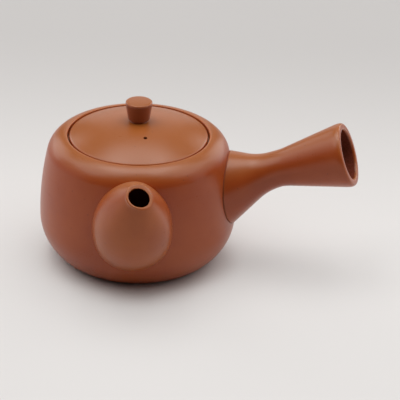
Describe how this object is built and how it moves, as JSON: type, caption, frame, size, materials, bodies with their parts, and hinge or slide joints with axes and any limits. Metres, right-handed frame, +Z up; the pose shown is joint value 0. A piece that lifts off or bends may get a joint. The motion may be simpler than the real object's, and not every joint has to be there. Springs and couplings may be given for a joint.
{
  "type": "side-handled clay teapot",
  "caption": "Round unglazed clay teapot with a short spout, a hollow side handle, an inner clay strainer and a domed lid that lifts out of its mouth.",
  "frame": {"origin": "centre of the foot, on the pot's axis, at the surface it stands on", "axes": "+Z up along the pot's axis, +X along the handle, the spout towards -Y"},
  "size_m": [0.1614, 0.1272, 0.0834],
  "materials": {
    "clay": "unglazed red clay, burnished to a soft satin",
    "slip": "fired clay slip in the joints, matte"
  },
  "bodies": {
    "pot": {"body_shell": "clay", "spout": "clay", "spout_luting": "slip", "handle": "clay", "handle_luting": "slip", "strainer": "clay", "strainer_luting": "slip"},
    "lid": {"lid": "clay", "lid_knob": "clay", "knob_luting": "slip"}
  },
  "joints": [
    {"name": "lid_lift", "type": "slide", "parent": "pot", "child": "lid", "axis": [0, 0, 1], "range_m": [0, 0.06]}
  ]
}
